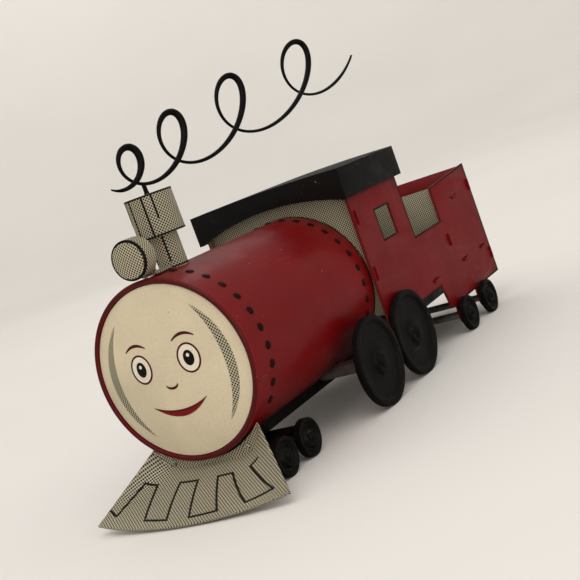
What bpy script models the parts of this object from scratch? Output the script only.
"""A pressed-tin toy tank locomotive, built from separate sheet, turned and wire pieces.

Frame: metres, +X forward, +Y to the engine's left, +Z up. The origin is on the ground, at the middle of
the engine's length. Run it with: blender --background --python part.py
"""

from math import asin, ceil, cos, pi, radians, sin, sqrt, tau

import bmesh
import bpy
from mathutils import Matrix, Vector

MM = 0.001

# ---- Driving dimensions ------------------------------------------------------------------------------
BOILER_R = 30 * MM  # every other proportion was chosen against this radius
SHEET = 0.8 * MM  # tinplate thickness
GAP = 0.3 * MM  # clearance left between pieces that rest on each other
OVERALL = 250 * MM  # tip of the cowcatcher to the end of the coupling bar
COWCATCHER_REACH = 23 * MM  # how far the cowcatcher stands ahead of the face

# ---- Lengthwise places -------------------------------------------------------------------------------
FACE_X = OVERALL / 2 - COWCATCHER_REACH
CAB_X = FACE_X - 89 * MM  # front edge of the cab sides
CAB_REAR_X = CAB_X - 47 * MM
BUNKER_X = CAB_REAR_X - 30 * MM
REAR_X = BUNKER_X - 46 * MM
CHIMNEY_X = FACE_X - 19.4 * MM

# ---- Heights -----------------------------------------------------------------------------------------
BOILER_Z = 43.5 * MM  # the boiler's axis
ENTRANCE_Z = BOILER_Z + 3.6 * MM  # sill of the open cab entrance
BUNKER_FRONT_Z = BOILER_Z + 18.5 * MM
BUNKER_REAR_Z = BOILER_Z + 21.5 * MM
ROOF_Z = BOILER_Z + 42 * MM
ROOF_SKIRT = 12.5 * MM  # depth of the roof's turned-down edge
CAB_WALL_Z = ROOF_Z - 3 * MM
CAB_SILL_Z = BOILER_Z - 20.5 * MM  # lower edge of the cab sides
VALANCE_Z = BOILER_Z - 31 * MM  # lower edge of the bunker sides
VALANCE_X = -46 * MM  # where the lower edge steps down
FRAME_Z = 11.6 * MM  # underside of the main frame
FRAME_TOP_Z = 26 * MM

# ---- Widths ------------------------------------------------------------------------------------------
SIDE_Y = 32 * MM  # outer face of a side plate
TAB_OUT = 0.9 * MM  # how far a bent tab stands out of its slot
ROOF_HALF = 34 * MM
FRAME_HALF = 10 * MM

# ---- Wheels and axles --------------------------------------------------------------------------------
DRIVER_R = 16.5 * MM
SMALL_R = 7.4 * MM
BOGIE_R = 6.6 * MM
WHEEL_W = 2.8 * MM
BOSS = 0.6 * MM  # how far a wheel's hub stands out
DRIVER_SIDES = 26
SMALL_SIDES = 18
AXLE_R = 1.5 * MM
AXLE_SIDES = 12
AXLE_HOLE_R = 1.8 * MM
SLEEVE_R = 2.6 * MM
PRESS_GAP = 0.1 * MM  # shown between an axle and the wheel pressed on it
WHEEL_IN_Y = 33.2 * MM  # inner face of the driving and rear wheels
BOGIE_WHEEL_Y = 21.4 * MM
DRIVER_X = (35.5 * MM, 1.3 * MM)
REAR_AXLE_X = (-55 * MM, -81.5 * MM)
BOGIE_X = 86 * MM
BOGIE_HALF_BASE = 8.2 * MM
BOGIE_HALF = 18.6 * MM  # half width of its channel
# A wheel is a polygon that stands on a flat, so its axle sits at the flat's distance.
DRIVER_Z = DRIVER_R * cos(pi / DRIVER_SIDES)
SMALL_Z = SMALL_R * cos(pi / SMALL_SIDES)
BOGIE_Z = BOGIE_R * cos(pi / SMALL_SIDES)

RIVET_R = 1.2 * MM
COUPLING_X = REAR_X + 6 * MM
COUPLING_T = 1.2 * MM
COUPLING_Z = FRAME_Z - GAP - COUPLING_T / 2

COLOURS = {  # material: (linear red, green, blue), metallic, roughness
    "red_enamel": ((0.32, 0.01, 0.015), 0.0, 0.3),
    "cream_enamel": ((0.72, 0.62, 0.42), 0.0, 0.3),
    "grey_enamel": ((0.22, 0.2, 0.14), 0.0, 0.35),
    "black_enamel": ((0.01, 0.01, 0.009), 0.0, 0.35),
    "tinned_steel": ((0.5, 0.48, 0.42), 1.0, 0.4),
}


# ---- Building helpers --------------------------------------------------------------------------------
def clear_scene():
    for obj in list(bpy.data.objects):
        bpy.data.objects.remove(obj)


def new_collection(name):
    collection = bpy.data.collections.new(name)
    bpy.context.scene.collection.children.link(collection)
    return collection


def make_material(name):
    colour, metallic, roughness = COLOURS[name]
    material = bpy.data.materials.new(name)
    material.use_nodes = True
    shader = material.node_tree.nodes["Principled BSDF"]
    shader.inputs["Base Color"].default_value = (*colour, 1)
    shader.inputs["Metallic"].default_value = metallic
    shader.inputs["Roughness"].default_value = roughness
    return material


def add_object(name, mesh, material, at=(0, 0, 0), parent=None):
    if not mesh.materials:
        mesh.materials.append(MATERIALS[material])
    mesh.shade_smooth()
    mesh.set_sharp_from_angle(angle=radians(35))
    obj = bpy.data.objects.new(name, mesh)
    ENGINE.objects.link(obj)
    obj.location = at
    obj.parent = parent
    return obj


def assembly(name, at, parent=None):
    """An empty on a joint's axis, which carries the pieces that move together."""
    empty = bpy.data.objects.new(name, None)
    ENGINE.objects.link(empty)
    empty.location = at
    empty.parent = parent
    return empty


def circle(u, v, radius, sides=24):
    return [(u + radius * cos(tau * i / sides), v + radius * sin(tau * i / sides)) for i in range(sides)]


def arc(u, v, radius, start, end, steps):
    """Points from angle start to angle end, both in radians and both included."""
    angles = [start + (end - start) * i / steps for i in range(steps + 1)]
    return [(u + radius * cos(a), v + radius * sin(a)) for a in angles]


def slot(u, v, length, height):
    """A rectangular hole centred on (u, v)."""
    return [
        (u - length / 2, v - height / 2),
        (u + length / 2, v - height / 2),
        (u + length / 2, v + height / 2),
        (u - length / 2, v + height / 2),
    ]


PLANES = {  # plane: its two axes and its normal
    "XZ": ((1, 0, 0), (0, 0, 1), (0, -1, 0)),
    "YZ": ((0, 1, 0), (0, 0, 1), (1, 0, 0)),
    "XY": ((1, 0, 0), (0, 1, 0), (0, 0, 1)),
}


def outline_mesh(name, loops, thickness, plane):
    """A flat outline with holes, thickened equally to both sides of its plane, as a closed mesh."""
    curve = bpy.data.curves.new(name, "CURVE")
    curve.dimensions = "2D"
    curve.fill_mode = "BOTH"
    curve.extrude = thickness / 2
    for loop in loops:
        spline = curve.splines.new("POLY")
        spline.points.add(len(loop) - 1)
        for point, (u, v) in zip(spline.points, loop):
            point.co = (u, v, 0, 1)
        spline.use_cyclic_u = True
    drawn = bpy.data.objects.new(name, curve)
    bpy.context.scene.collection.objects.link(drawn)
    graph = bpy.context.evaluated_depsgraph_get()
    mesh = bpy.data.meshes.new_from_object(drawn.evaluated_get(graph))
    bpy.data.objects.remove(drawn)
    mesh.name = name
    mesh.transform(Matrix(PLANES[plane]).transposed().to_4x4())
    weld(mesh)
    return mesh


def weld(mesh):
    bm = bmesh.new()
    bm.from_mesh(mesh)
    bmesh.ops.remove_doubles(bm, verts=bm.verts, dist=0.001 * MM)
    bmesh.ops.recalc_face_normals(bm, faces=bm.faces)
    bm.to_mesh(mesh)
    bm.free()


def plate(name, loops, thickness, plane, at, material, parent=None):
    return add_object(name, outline_mesh(name, loops, thickness, plane), material, at, parent)


def turned(name, profile, sides, axis, at, material, parent=None, mesh=None):
    """A profile of (radius, height) points turned about an axis: +Z, +X, +Y or -Y.

    The profile runs outwards along its top, down its outer side and back inwards. It is closed unless
    it starts and ends on the axis. The first point stands half a step round, so flats face down."""
    if mesh is None:
        mesh = bpy.data.meshes.new(name)
        lean = pi / sides
        points = [(r * cos(lean), r * sin(lean), h) for r, h in profile]
        edges = [(i, i + 1) for i in range(len(points) - 1)]
        if profile[0][0] > 0:
            edges.append((len(points) - 1, 0))
        mesh.from_pydata(points, edges, [])
    obj = add_object(name, mesh, material, at, parent)
    obj.rotation_euler = {
        "+Z": (0, 0, 0),
        "+X": (0, pi / 2, 0),
        "+Y": (-pi / 2, 0, 0),
        "-Y": (pi / 2, 0, 0),
    }[axis]
    screw = obj.modifiers.new("Turn", "SCREW")
    screw.steps = sides
    screw.render_steps = sides
    screw.use_merge_vertices = True
    screw.merge_threshold = 0.01 * MM
    return obj


def rod_profile(radius, length, chamfer=0.0):
    """A solid rod centred on the origin, with chamfered ends."""
    half = length / 2
    return [
        (0, half),
        (radius - chamfer, half),
        (radius, half - chamfer),
        (radius, chamfer - half),
        (radius - chamfer, -half),
        (0, -half),
    ]


def add_cutter(name, mesh, at):
    obj = bpy.data.objects.new(name, mesh)
    CUTTERS.objects.link(obj)
    obj.location = at
    obj.hide_render = True
    obj.display_type = "WIRE"
    return obj


def cutter(name, radius, length, axis, at):
    """A hidden cylinder, along X, Y or Z."""
    bm = bmesh.new()
    bmesh.ops.create_cone(bm, cap_ends=True, segments=16, radius1=radius, radius2=radius, depth=length)
    mesh = bpy.data.meshes.new(name)
    bm.to_mesh(mesh)
    bm.free()
    obj = add_cutter(name, mesh, at)
    obj.rotation_euler = {"X": (0, pi / 2, 0), "Y": (pi / 2, 0, 0), "Z": (0, 0, 0)}[axis]
    return obj


def shaped_cutter(name, outline, length, x):
    """A hidden block with a (y, z) outline, centred at x."""
    return add_cutter(name, outline_mesh(name, [outline], length, "YZ"), (x, 0, 0))


def combine(obj, other, operation="DIFFERENCE"):
    modifier = obj.modifiers.new(operation.title(), "BOOLEAN")
    modifier.operation = operation
    modifier.object = other


# ---- Main frame --------------------------------------------------------------------------------------
FRAME_FRONT_X = FACE_X - 4.3 * MM
REAR_PLATE_X = REAR_X + 2.4 * MM  # middle of the plate that closes the bunker
FRAME_REAR_X = REAR_PLATE_X + SHEET / 2 + GAP


def channel_outline(half, low, high, opens_up):
    """A folded channel's section across the engine, as (y, z) points."""
    inner = half - SHEET
    if opens_up:
        floor = low + SHEET
        return [(-half, low), (half, low), (half, high), (inner, high), (inner, floor), (-inner, floor),
                (-inner, high), (-half, high)]
    ceiling = high - SHEET
    return [(-half, low), (-inner, low), (-inner, ceiling), (inner, ceiling), (inner, low), (half, low),
            (half, high), (-half, high)]


def build_frame():
    """The channel under the whole engine. The driving axles run in holes in its flanges."""
    length = FRAME_FRONT_X - FRAME_REAR_X
    middle = (FRAME_FRONT_X + FRAME_REAR_X) / 2
    section = channel_outline(FRAME_HALF, FRAME_Z, FRAME_TOP_Z, opens_up=True)
    frame = plate("main_frame", [section], length, "YZ", (middle, 0, 0), "black_enamel")
    for i, x in enumerate(DRIVER_X, 1):
        combine(frame, cutter(f"driver_{i}_holes", AXLE_HOLE_R, 50 * MM, "Y", (x, 0, DRIVER_Z)))
    for name, x in (("bogie_rivet_hole", BOGIE_X), ("coupling_rivet_hole", COUPLING_X)):
        combine(frame, cutter(name, RIVET_R + GAP, 8 * MM, "Z", (x, 0, FRAME_Z)))


def build_front_beam():
    """The crescent plate across the frame's front end, which the cowcatcher is riveted to."""
    half = BEAM_HALF
    clear_r = BOILER_R + 1 * MM
    lean = asin(half / clear_r)
    hollow = arc(0, BOILER_Z, clear_r, -pi / 2 + lean, -pi / 2 - lean, 12)
    outline = [(-half, BEAM_LOW_Z), (half, BEAM_LOW_Z), *hollow]
    beam = plate("front_beam", [outline], SHEET, "YZ", (BEAM_X, 0, 0), "black_enamel")
    for side, y in (("left", RIVET_Y), ("right", -RIVET_Y)):
        combine(beam, cutter(f"beam_hole_{side}", RIVET_HOLE_R, 6 * MM, "X", (BEAM_X, y, RIVET_Z)))


# ---- Cowcatcher --------------------------------------------------------------------------------------
BEAM_X = FRAME_FRONT_X + GAP + SHEET / 2
COWCATCHER_TOP_X = BEAM_X + SHEET / 2 + GAP + SHEET
COWCATCHER_TOP_HALF = 21 * MM
COWCATCHER_FOOT_HALF = 38 * MM
COWCATCHER_FOOT_Z = 1.2 * MM
COWCATCHER_SWEEP = 5 * MM  # how far its foot's corners stand behind its tip
COWCATCHER_LIFT = 2.5 * MM  # how far its foot's corners stand above the middle of the foot
COWCATCHER_EDGE = 1.2 * MM  # upright strip left at its top corners, where it is narrowest
BEAM_LOW_Z = FRAME_Z - 0.4 * MM
BEAM_HALF = 18.4 * MM
RIVET_Y = 15 * MM
RIVET_Z = BOILER_Z - 29.7 * MM
RIVET_HOLE_R = 0.9 * MM


def cowcatcher_mesh(columns=16, rows=3):
    """An open sheet. It stands upright against the beam, then slopes down to a foot that bows forwards."""
    tip = FACE_X + COWCATCHER_REACH
    top_r = BOILER_R + 1 * MM
    foot_r = (COWCATCHER_FOOT_HALF**2 + COWCATCHER_SWEEP**2) / (2 * COWCATCHER_SWEEP)
    foot_angle = asin(COWCATCHER_FOOT_HALF / foot_r)
    bm = bmesh.new()
    grid = []
    for i in range(columns + 1):
        u = 2 * i / columns - 1
        y = COWCATCHER_TOP_HALF * u
        top = Vector((COWCATCHER_TOP_X, y, BOILER_Z - sqrt(top_r**2 - y**2)))
        middle_share = 1 - u**4
        upright = (top.z - BEAM_LOW_Z) * middle_share + COWCATCHER_EDGE * (1 - middle_share)
        knee = top - Vector((0, 0, upright))
        foot_x = tip - foot_r * (1 - cos(foot_angle * u))
        foot_z = COWCATCHER_FOOT_Z + COWCATCHER_LIFT * u**2
        foot = Vector((foot_x, foot_r * sin(foot_angle * u), foot_z))
        points = [top] + [knee.lerp(foot, j / rows) for j in range(rows + 1)]
        grid.append([bm.verts.new(point) for point in points])
    for near, far in zip(grid, grid[1:]):
        for j in range(len(near) - 1):
            bm.faces.new((near[j], near[j + 1], far[j + 1], far[j]))
    mesh = bpy.data.meshes.new("cowcatcher")
    bm.to_mesh(mesh)
    bm.free()
    return mesh


def build_cowcatcher():
    skirt = add_object("cowcatcher", cowcatcher_mesh(), "grey_enamel")
    solid = skirt.modifiers.new("Sheet", "SOLIDIFY")
    solid.thickness = SHEET
    solid.offset = -1
    shank = 0.6 * MM
    head = 1.2 * MM
    back = BEAM_X - SHEET / 2 - GAP
    front = COWCATCHER_TOP_X + GAP
    profile = [(0, front + 0.8 * MM), (head * 0.7, front + 0.6 * MM), (head, front), (shank, front),
               (shank, back), (head, back), (head, back - 0.5 * MM), (0, back - 0.5 * MM)]
    for side, y in (("left", RIVET_Y), ("right", -RIVET_Y)):
        hole_at = (COWCATCHER_TOP_X, y, RIVET_Z)
        combine(skirt, cutter(f"cowcatcher_hole_{side}", RIVET_HOLE_R, 6 * MM, "X", hole_at))
        turned(f"cowcatcher_rivet_{side}", profile, 8, "+X", (0, y, RIVET_Z), "grey_enamel")


# ---- Boiler and face ---------------------------------------------------------------------------------
FRONT_PLATE_X = CAB_X - 3 * MM  # middle of the cab's front plate
BOILER_FRONT_X = FACE_X - 0.8 * MM
FACE_SIDES = 44


def build_boiler():
    """The rolled sheet. It stays open below, where its edges stand beside the frame's flanges."""
    rear = FRONT_PLATE_X + SHEET / 2 + GAP
    inner = BOILER_R - SHEET
    half_opening = asin((FRAME_HALF + GAP) / inner)
    start = -pi / 2 + half_opening
    end = 3 * pi / 2 - half_opening
    outline = arc(0, BOILER_Z, BOILER_R, start, end, 46) + arc(0, BOILER_Z, inner, end, start, 46)
    middle = (BOILER_FRONT_X + rear) / 2
    shell = plate("boiler_shell", [outline], BOILER_FRONT_X - rear, "YZ", (middle, 0, 0), "red_enamel")
    top = (CHIMNEY_X, 0, BOILER_Z + BOILER_R)
    combine(shell, cutter("chimney_hole", CHIMNEY_TUBE_R + GAP, 12 * MM, "Z", top))
    # The leading driving axle crosses under the boiler, through a notch in each lower edge.
    combine(shell, cutter("axle_notch", SLEEVE_R + 1 * MM, 50 * MM, "Y", (DRIVER_X[0], 0, DRIVER_Z)))


def build_face():
    """The ring crimped on the boiler's front end, and the domed plate that it holds."""
    inner = BOILER_R - 1.2 * MM
    ring = [(inner, 2 * MM), (BOILER_R - 0.4 * MM, 2 * MM), (BOILER_R + 0.4 * MM, 1.3 * MM),
            (BOILER_R + 0.4 * MM, GAP), (inner, GAP)]
    turned("face_ring", ring, FACE_SIDES, "+X", (BOILER_FRONT_X, 0, BOILER_Z), "red_enamel")

    rim = inner - GAP
    dome_rise = 3.2 * MM
    dome_r = (rim**2 + dome_rise**2) / (2 * dome_rise)
    half_angle = asin(rim / dome_r)

    def dome(radius, centre_h, first, last):
        """Points of the dome from angle first to angle last, both measured from its crown."""
        steps = [first + (last - first) * i / 5 for i in range(6)]
        return [(radius * sin(a), centre_h + radius * cos(a)) for a in steps]

    centre_h = 1.2 * MM + dome_rise - dome_r
    outer = dome(dome_r, centre_h, 0, half_angle)
    inner_angle = asin((rim - SHEET) / (dome_r - SHEET))
    under = dome(dome_r - SHEET, centre_h, inner_angle, 0)
    skirt = -2.5 * MM  # the rim runs back inside the boiler
    profile = [*outer, (rim, skirt), (rim - SHEET, skirt), *under]
    turned("face_plate", profile, FACE_SIDES, "+X", (BOILER_FRONT_X, 0, BOILER_Z), "cream_enamel")


# ---- Headlamp and chimney ----------------------------------------------------------------------------
LAMP_R = 6.6 * MM
LAMP_Z = BOILER_Z + BOILER_R + LAMP_R + 0.8 * MM
LAMP_BACK_X = FACE_X - 4.9 * MM
CHIMNEY_TUBE_R = 4.9 * MM
CHIMNEY_CAP_R = 8 * MM
CHIMNEY_CAP_Z = BOILER_Z + 41 * MM
CHIMNEY_TOP_Z = BOILER_Z + 55 * MM
WIRE_R = 0.9 * MM
POST_TURN = 0.441  # the place under the first loop that is right above the chimney


def build_headlamp():
    """A bent strip on the boiler's top, with a drum and its front disc."""
    foot_z = BOILER_Z + BOILER_R + GAP
    back = LAMP_BACK_X - GAP
    strip = [(back - 9 * MM, foot_z), (back, foot_z), (back, LAMP_Z + 2 * MM),
             (back - SHEET, LAMP_Z + 2 * MM), (back - SHEET, foot_z + SHEET), (back - 9 * MM, foot_z + SHEET)]
    plate("headlamp_bracket", [strip], 6 * MM, "XZ", (0, 0, 0), "grey_enamel")

    wall = 0.7 * MM
    depth = 7 * MM
    bore = LAMP_R - wall
    drum = [(bore, depth), (LAMP_R, depth), (LAMP_R, 0.8 * MM), (LAMP_R - 0.8 * MM, 0), (0, 0)]
    drum = [(0, wall), (bore, wall), *drum]
    turned("headlamp_drum", drum, 32, "+X", (LAMP_BACK_X, 0, LAMP_Z), "grey_enamel")

    disc_r = bore - GAP
    disc = [(0, depth + 0.9 * MM), (disc_r * 0.6, depth + 0.55 * MM), (disc_r, depth - 0.6 * MM),
            (disc_r, depth - 1.4 * MM), (0, depth - 1.4 * MM)]
    turned("headlamp_disc", disc, 32, "+X", (LAMP_BACK_X, 0, LAMP_Z), "grey_enamel")


def build_chimney():
    """The tube that stands in the boiler, and the drum on top of it."""
    bore = CHIMNEY_TUBE_R - SHEET
    low = BOILER_Z + BOILER_R - 4 * MM
    high = CHIMNEY_CAP_Z + 4 * MM
    tube = [(bore, high), (CHIMNEY_TUBE_R, high), (CHIMNEY_TUBE_R, low), (bore, low)]
    turned("chimney_tube", tube, 24, "+Z", (CHIMNEY_X, 0, 0), "grey_enamel")

    mouth = WIRE_R + 0.2 * MM
    neck = CHIMNEY_TUBE_R + 0.2 * MM
    inside = CHIMNEY_CAP_R - SHEET
    cap = [(mouth, CHIMNEY_TOP_Z), (CHIMNEY_CAP_R - 0.5 * MM, CHIMNEY_TOP_Z),
           (CHIMNEY_CAP_R, CHIMNEY_TOP_Z - 0.5 * MM), (CHIMNEY_CAP_R, CHIMNEY_CAP_Z),
           (neck, CHIMNEY_CAP_Z), (neck, CHIMNEY_CAP_Z + SHEET), (inside, CHIMNEY_CAP_Z + SHEET),
           (inside, CHIMNEY_TOP_Z - SHEET), (mouth, CHIMNEY_TOP_Z - SHEET)]
    turned("chimney_cap", cap, 32, "+Z", (CHIMNEY_X, 0, 0), "grey_enamel")


def smoke_point(turn):
    """A point on the smoke wire's centre line. turn counts whole loops from the first one's top.

    Each loop is a leaning ellipse. Its centre runs backwards and upwards faster and faster, and the
    loops grow. The wire also winds a little sideways, as a coil does, so that its strands pass clear."""
    phase = pi / 2 + tau * turn
    run = 15.8 + 19.3 * turn + 8 * turn**2
    half_length = 7.8 + 4.3 * turn
    lean = 2 + 2.7 * turn
    half_height = 6.6 + 4.1 * turn - 0.53 * turn**2
    height = 64.6 + 3.6 * turn + 0.7 * turn**2
    tail = max(0, turn - 3.3) ** 2  # its free end turns up
    x = -run - half_length * cos(phase) - lean * sin(phase) + 61 * tail
    y = (1.8 + 0.35 * turn) * cos(phase)
    z = height + half_height * sin(phase) + 42 * tail
    return Vector((FACE_X + x * MM, y * MM, BOILER_Z + z * MM))


def smoke_thickness(turn):
    """The wire's thickness against its mean: heavy on the forward strokes, fine over the tops."""
    return 1 - 0.4 * cos(tau * (turn - 0.38))


def build_smoke_wire(first=-0.62, last=3.66, points_per_loop=14):
    """The curl, with a short post soldered under its first loop that stands in the chimney."""
    curve = bpy.data.curves.new("smoke_curl", "CURVE")
    curve.dimensions = "3D"
    curve.bevel_depth = WIRE_R
    curve.bevel_resolution = 1
    curve.use_fill_caps = True
    spline = curve.splines.new("POLY")
    count = ceil((last - first) * points_per_loop)
    spline.points.add(count)
    post_top = smoke_point(POST_TURN)
    for i, point in enumerate(spline.points):
        turn = first + (last - first) * i / count
        x, y, z = smoke_point(turn)
        point.co = (x, y - post_top.y, z, 1)
        point.radius = smoke_thickness(turn)
    drawn = bpy.data.objects.new("smoke_curl", curve)
    bpy.context.scene.collection.objects.link(drawn)
    graph = bpy.context.evaluated_depsgraph_get()
    mesh = bpy.data.meshes.new_from_object(drawn.evaluated_get(graph))
    bpy.data.objects.remove(drawn)
    weld(mesh)
    wire = add_object("smoke_wire", mesh, "black_enamel")
    low = CHIMNEY_TOP_Z - 9 * MM
    post_at = (CHIMNEY_X, 0, (low + post_top.z) / 2)
    post = cutter("smoke_post", WIRE_R, post_top.z - low, "Z", post_at)
    combine(wire, post, "UNION")


# ---- Cab and bunker ----------------------------------------------------------------------------------
DECK_Z = FRAME_TOP_Z + GAP + SHEET / 2
WINDOW_X = CAB_X - 26.1 * MM
WINDOW_Z = BOILER_Z + 14.9 * MM
WINDOW_LENGTH = 13.3 * MM
WINDOW_HEIGHT = 11.6 * MM
DECK_TAB_X = (-40 * MM, -77 * MM, -101 * MM)
DECK_TAB = 6 * MM
WALL_TAB = 5 * MM
BULKHEAD_X = BUNKER_X - 2.4 * MM
COAL_Z = BOILER_Z + 10 * MM
COAL_TAB_X = (BUNKER_X + REAR_X) / 2
FRONT_TAB_Z = (43 * MM, 65 * MM)
REAR_TAB_Z = (22 * MM, 55 * MM)
BULKHEAD_TAB_Z = 38 * MM
INSIDE_Y = SIDE_Y - SHEET - GAP  # half width of the plates between the sides


def build_side_plates():
    """One pressed plate a side: cab wall with its window, the open entrance, and the bunker wall."""
    lug_r = 4 * MM
    outline = [(REAR_X, BUNKER_REAR_Z), (REAR_X, VALANCE_Z)]
    for x in sorted(REAR_AXLE_X):
        outline += [(x - lug_r, VALANCE_Z), *arc(x, SMALL_Z, lug_r, pi, tau, 10), (x + lug_r, VALANCE_Z)]
    outline += [(VALANCE_X, VALANCE_Z), (VALANCE_X + 3 * MM, CAB_SILL_Z), (CAB_X, CAB_SILL_Z),
                (CAB_X, CAB_WALL_Z), (CAB_REAR_X, CAB_WALL_Z), (CAB_REAR_X, ENTRANCE_Z),
                (BUNKER_X, ENTRANCE_Z), (BUNKER_X, BUNKER_FRONT_Z)]
    window = slot(WINDOW_X, WINDOW_Z, WINDOW_LENGTH, WINDOW_HEIGHT)
    across = SHEET + 0.6 * MM  # slot width that clears a tab of one sheet
    along = 0.6 * MM
    loops = [outline, window]
    loops += [circle(x, SMALL_Z, AXLE_HOLE_R, 16) for x in REAR_AXLE_X]
    loops += [slot(x, DECK_Z, DECK_TAB + along, across) for x in DECK_TAB_X]
    loops += [slot(FRONT_PLATE_X, z, across, WALL_TAB + along) for z in FRONT_TAB_Z]
    loops += [slot(REAR_PLATE_X, z, across, WALL_TAB + along) for z in REAR_TAB_Z]
    loops.append(slot(BULKHEAD_X, BULKHEAD_TAB_Z, across, WALL_TAB + along))
    loops.append(slot(COAL_TAB_X, COAL_Z, DECK_TAB + along, across))
    y = SIDE_Y - SHEET / 2
    left = plate("side_plate_left", loops, SHEET, "XZ", (0, y, 0), "red_enamel")
    add_object("side_plate_right", left.data, "red_enamel", (0, -y, 0))


def with_tabs(half, low, high, tabs, tab_size, top=None):
    """A plate outline, symmetric about zero, with tabs at the given places up both its edges."""
    out = SIDE_Y + TAB_OUT
    right = [(half, low)]
    for place in sorted(tabs):
        right += [(half, place - tab_size / 2), (out, place - tab_size / 2),
                  (out, place + tab_size / 2), (half, place + tab_size / 2)]
    right.append((half, high))
    left = [(-u, v) for u, v in reversed(right)]
    return right + (top or []) + left


def crown_points(half, side_z, crown, steps=8):
    """A shallow arc across the engine, from (half, side_z) over the middle to (-half, side_z)."""
    crown_r = (half**2 + crown**2) / (2 * crown)
    lean = asin(half / crown_r)
    return arc(0, side_z + crown - crown_r, crown_r, pi / 2 - lean, pi / 2 + lean, steps)


def build_cross_plates():
    """The plates that stand between the two sides, held by tabs through their slots."""
    low = DECK_Z + SHEET / 2 + GAP
    eaves = ROOF_Z - ROOF_SKIRT + 4 * MM
    top = crown_points(INSIDE_Y, eaves, 5.5 * MM, 12)[1:-1]
    front = with_tabs(INSIDE_Y, low, eaves, FRONT_TAB_Z, WALL_TAB, top)
    plate("cab_front_plate", [front], SHEET, "YZ", (FRONT_PLATE_X, 0, 0), "grey_enamel")

    rear = with_tabs(INSIDE_Y, VALANCE_Z + 0.7 * MM, BUNKER_REAR_Z - 0.5 * MM, REAR_TAB_Z, WALL_TAB)
    plate("bunker_rear_plate", [rear], SHEET, "YZ", (REAR_PLATE_X, 0, 0), "red_enamel")

    bulkhead = with_tabs(INSIDE_Y, low, BUNKER_FRONT_Z - 0.5 * MM, [BULKHEAD_TAB_Z], WALL_TAB)
    plate("bunker_bulkhead", [bulkhead], SHEET, "YZ", (BULKHEAD_X, 0, 0), "grey_enamel")


def turn_quarter(outline):
    """Swaps an outline's axes, so that tabs along v run along x."""
    return [(v, u) for u, v in reversed(outline)]


def build_floors():
    """The deck on top of the frame, and the sheet that floors the coal bunker."""
    deck = with_tabs(INSIDE_Y, FRAME_REAR_X, FRONT_PLATE_X + SHEET / 2, DECK_TAB_X, DECK_TAB)
    plate("deck_plate", [turn_quarter(deck)], SHEET, "XY", (0, 0, DECK_Z), "black_enamel")
    front = BULKHEAD_X - SHEET / 2 - GAP
    coal = with_tabs(INSIDE_Y, FRAME_REAR_X, front, [COAL_TAB_X], DECK_TAB)
    plate("coal_floor", [turn_quarter(coal)], SHEET, "XY", (0, 0, COAL_Z), "grey_enamel")


def build_roof():
    """A pressed lid: a slightly crowned top, and a turned-down edge that is arched at both ends."""
    over = 3 * MM
    front = CAB_X + over
    rear = CAB_REAR_X - over
    length = front - rear
    middle = (front + rear) / 2
    crown = 0.8 * MM
    low = ROOF_Z - ROOF_SKIRT
    below = low - 1 * MM

    def lid_outline(half, bottom, side_z):
        return [(-half, bottom), (half, bottom), *crown_points(half, side_z, crown)]

    outer = lid_outline(ROOF_HALF, low, ROOF_Z - crown)
    roof = plate("cab_roof", [outer], length, "YZ", (middle, 0, 0), "black_enamel")
    inner = lid_outline(ROOF_HALF - SHEET, below, ROOF_Z - crown - SHEET)
    combine(roof, shaped_cutter("roof_inside", inner, length - 2 * SHEET, middle))
    arch_half = ROOF_HALF - 2 * MM
    arch = [(-arch_half, below), (arch_half, below), *crown_points(arch_half, low + 0.2 * MM, 5 * MM, 12)]
    combine(roof, shaped_cutter("roof_arches", arch, length + 2 * MM, middle))


# ---- Wheels ------------------------------------------------------------------------------------------
def wheel_profile(radius, hub_r, rim):
    """(radius, height) points of a pressed wheel: a solid hub, a sunk disc, and a rim with a turned edge.

    Height 0 is its inner face, where it is open between the hub and the edge."""
    bore = AXLE_R + PRESS_GAP
    disc = WHEEL_W - 1.2 * MM
    step = 0.5 * MM
    return [
        (bore, WHEEL_W + BOSS),
        (hub_r, WHEEL_W + BOSS),
        (hub_r + step, disc),
        (radius - rim - step, disc),
        (radius - rim, WHEEL_W),
        (radius, WHEEL_W),
        (radius, 0),
        (radius - SHEET, 0),
        (radius - SHEET, disc - SHEET),
        (hub_r, disc - SHEET),
        (hub_r, 0),
        (bore, 0),
    ]


def build_axle_set(name, at, radius, sides, inner_y, wheel_mesh=None, parent=None, sleeves=False):
    """An axle with a wheel pressed on each end, and on a driving axle a spacer sleeve each side."""
    axis = assembly(name + "_set", at, parent)
    length = 2 * (inner_y + WHEEL_W + BOSS + 0.6 * MM)
    turned(name + "_axle", rod_profile(AXLE_R, length, 0.3 * MM), AXLE_SIDES, "+Y", (0, 0, 0),
           "tinned_steel", axis)
    hub_r, rim = (4.5 * MM, 2 * MM) if radius > SMALL_R else (3 * MM, 1.2 * MM)
    profile = wheel_profile(radius, hub_r, rim)
    left = turned(name + "_wheel_left", profile, sides, "+Y", (0, inner_y, 0), "black_enamel", axis,
                  wheel_mesh)
    turned(name + "_wheel_right", profile, sides, "-Y", (0, -inner_y, 0), "black_enamel", axis, left.data)
    if sleeves:
        bore = AXLE_R + PRESS_GAP
        low = FRAME_HALF + GAP
        high = inner_y - GAP
        sleeve = [(bore, high), (SLEEVE_R, high), (SLEEVE_R, low), (bore, low)]
        turned(name + "_sleeve_left", sleeve, AXLE_SIDES, "+Y", (0, 0, 0), "tinned_steel", axis)
        turned(name + "_sleeve_right", sleeve, AXLE_SIDES, "-Y", (0, 0, 0), "tinned_steel", axis)
    return left.data


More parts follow.
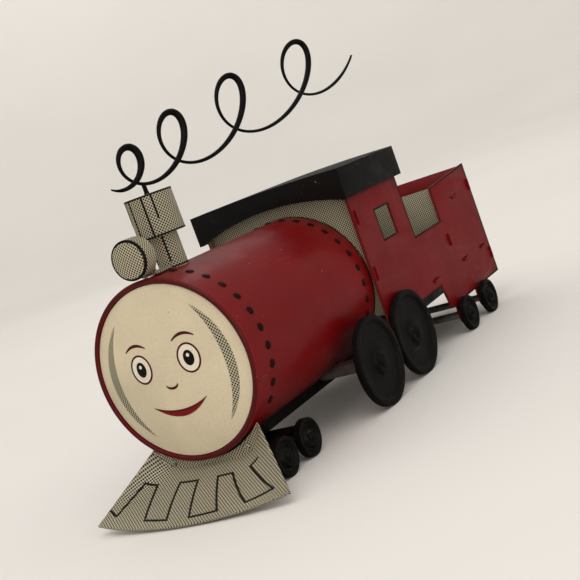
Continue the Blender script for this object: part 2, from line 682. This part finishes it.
def build_drivers_and_rear_wheels():
    mesh = None
    for i, x in enumerate(DRIVER_X, 1):
        mesh = build_axle_set(f"driver_{i}", (x, 0, DRIVER_Z), DRIVER_R, DRIVER_SIDES, WHEEL_IN_Y, mesh,
                              sleeves=True)
    mesh = None
    for i, x in enumerate(REAR_AXLE_X, 1):
        mesh = build_axle_set(f"rear_{i}", (x, 0, SMALL_Z), SMALL_R, SMALL_SIDES, WHEEL_IN_Y, mesh)


def build_bogie():
    """The four-wheel truck under the boiler's front end, with the rivet and washer that it turns on."""
    pivot = assembly("front_bogie", (BOGIE_X, 0, 0))
    top = FRAME_Z - 1 * MM
    section = channel_outline(BOGIE_HALF, BOGIE_Z - 3 * MM, top, opens_up=False)
    length = 2 * (BOGIE_HALF_BASE + 2.8 * MM)
    bogie = plate("bogie_frame", [section], length, "YZ", (0, 0, 0), "black_enamel", pivot)
    axle_x = (BOGIE_HALF_BASE, -BOGIE_HALF_BASE)
    for i, x in enumerate(axle_x, 1):
        hole_at = (BOGIE_X + x, 0, BOGIE_Z)
        combine(bogie, cutter(f"bogie_{i}_holes", AXLE_HOLE_R, 50 * MM, "Y", hole_at))
    combine(bogie, cutter("bogie_pivot_hole", RIVET_R + GAP, 6 * MM, "Z", (BOGIE_X, 0, top)))

    hole = RIVET_R + GAP
    rim = 4 * MM
    washer = [(hole, FRAME_Z - GAP), (rim, FRAME_Z - GAP), (rim, top + GAP), (hole, top + GAP)]
    turned("bogie_washer", washer, 16, "+Z", (0, 0, 0), "tinned_steel", pivot)
    build_rivet("bogie_rivet", BOGIE_X, top - SHEET)

    mesh = None
    for i, x in enumerate(axle_x, 1):
        mesh = build_axle_set(f"bogie_{i}", (x, 0, BOGIE_Z), BOGIE_R, SMALL_SIDES, BOGIE_WHEEL_Y, mesh,
                              parent=pivot)


def build_rivet(name, x, low):
    """A shouldered rivet from inside the main frame down through the piece that turns on it."""
    head_r = 2.6 * MM
    top = FRAME_Z + SHEET + GAP
    foot = low - GAP
    profile = [(0, top + 1 * MM), (head_r - 0.6 * MM, top + 1 * MM), (head_r, top + 0.4 * MM), (head_r, top),
               (RIVET_R, top), (RIVET_R, foot), (head_r, foot), (head_r, foot - 0.4 * MM),
               (head_r - 0.6 * MM, foot - 0.8 * MM), (0, foot - 0.8 * MM)]
    turned(name, profile, 12, "+Z", (x, 0, 0), "tinned_steel")


def build_coupling():
    """The bar at the rear that swings on its rivet, with an eye for a wagon's hook."""
    pivot = assembly("coupling", (COUPLING_X, 0, COUPLING_Z))
    front_r = 4 * MM
    eye_r = 4.4 * MM
    eye_x = -OVERALL / 2 + eye_r - COUPLING_X
    outline = arc(0, 0, front_r, -pi / 2, pi / 2, 8) + arc(eye_x, 0, eye_r, pi / 2, 3 * pi / 2, 8)
    holes = [circle(0, 0, RIVET_R + GAP, 12), circle(eye_x, 0, 2 * MM, 16)]
    plate("coupling_bar", [outline, *holes], COUPLING_T, "XY", (0, 0, 0), "tinned_steel", pivot)
    build_rivet("coupling_rivet", COUPLING_X, COUPLING_Z - COUPLING_T / 2)


def build_engine():
    build_frame()
    build_front_beam()
    build_cowcatcher()
    build_boiler()
    build_face()
    build_headlamp()
    build_chimney()
    build_smoke_wire()
    build_side_plates()
    build_cross_plates()
    build_floors()
    build_roof()
    build_drivers_and_rear_wheels()
    build_bogie()
    build_coupling()


clear_scene()
ENGINE = new_collection("toy_tank_locomotive")
CUTTERS = new_collection("cutters")
MATERIALS = {name: make_material(name) for name in COLOURS}
build_engine()
